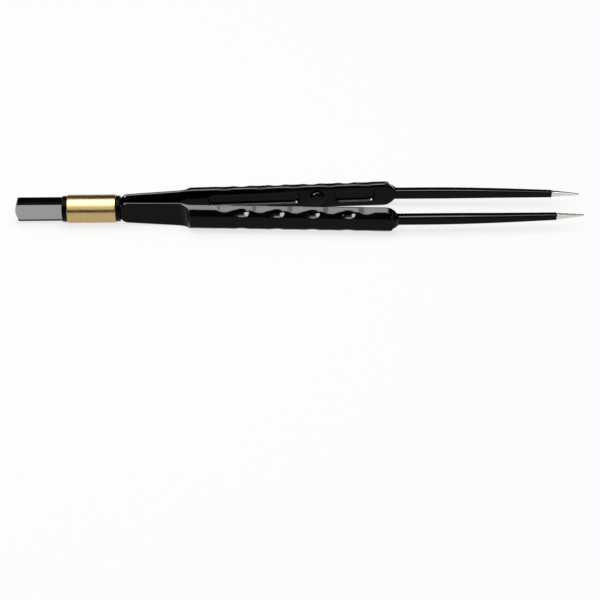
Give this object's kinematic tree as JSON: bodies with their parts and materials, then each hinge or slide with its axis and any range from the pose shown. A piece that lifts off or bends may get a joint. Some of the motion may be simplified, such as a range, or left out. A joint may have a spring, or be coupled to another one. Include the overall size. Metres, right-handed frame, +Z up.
{
  "type": "bipolar forceps",
  "caption": "Straight bipolar forceps: two sprung, black-coated arms with dimpled grips and bare tips, a metal ring and a flat two-pole plug.",
  "frame": {"origin": "on the surface the forceps lies on, below the middle of its length and on its middle plane", "axes": "+X from the plug to the points, +Y across the arms, which open along Y, +Z up from the surface"},
  "size_m": [0.1958, 0.0214, 0.0098],
  "materials": {
    "black_moulding": "smooth moulded black plastic with a soft gloss",
    "black_seal": "dull black potting resin",
    "gold_ring": "satin turned gold-coloured metal",
    "contact_metal": "fine-ground bright metal",
    "tip_metal": "fine satin, slightly warm bright metal",
    "black_coat": "glossy black insulating coat"
  },
  "bodies": {
    "root": {"plug_body": "black_moulding", "marking_ring": "gold_ring", "front_collar": "black_moulding", "front_seal": "black_seal", "upper_contact": "contact_metal", "lower_contact": "contact_metal"},
    "upper_arm": {"upper_blade": "tip_metal", "upper_coat": "black_coat", "upper_stop": "black_moulding"},
    "lower_arm": {"lower_blade": "tip_metal", "lower_coat": "black_coat", "lower_stop": "black_moulding"}
  },
  "joints": [
    {"name": "upper_arm_flex", "type": "hinge", "parent": "root", "child": "upper_arm", "pos_m": [-0.06285, 0.00198, 0.0049], "axis": [0, 0, -1], "range_deg": [0, 2.02], "stiffness_Nm_per_rad": 2.5},
    {"name": "lower_arm_flex", "type": "hinge", "parent": "root", "child": "lower_arm", "pos_m": [-0.06285, -0.00198, 0.0049], "axis": [0, 0, 1], "range_deg": [0, 2.02], "stiffness_Nm_per_rad": 2.5}
  ]
}
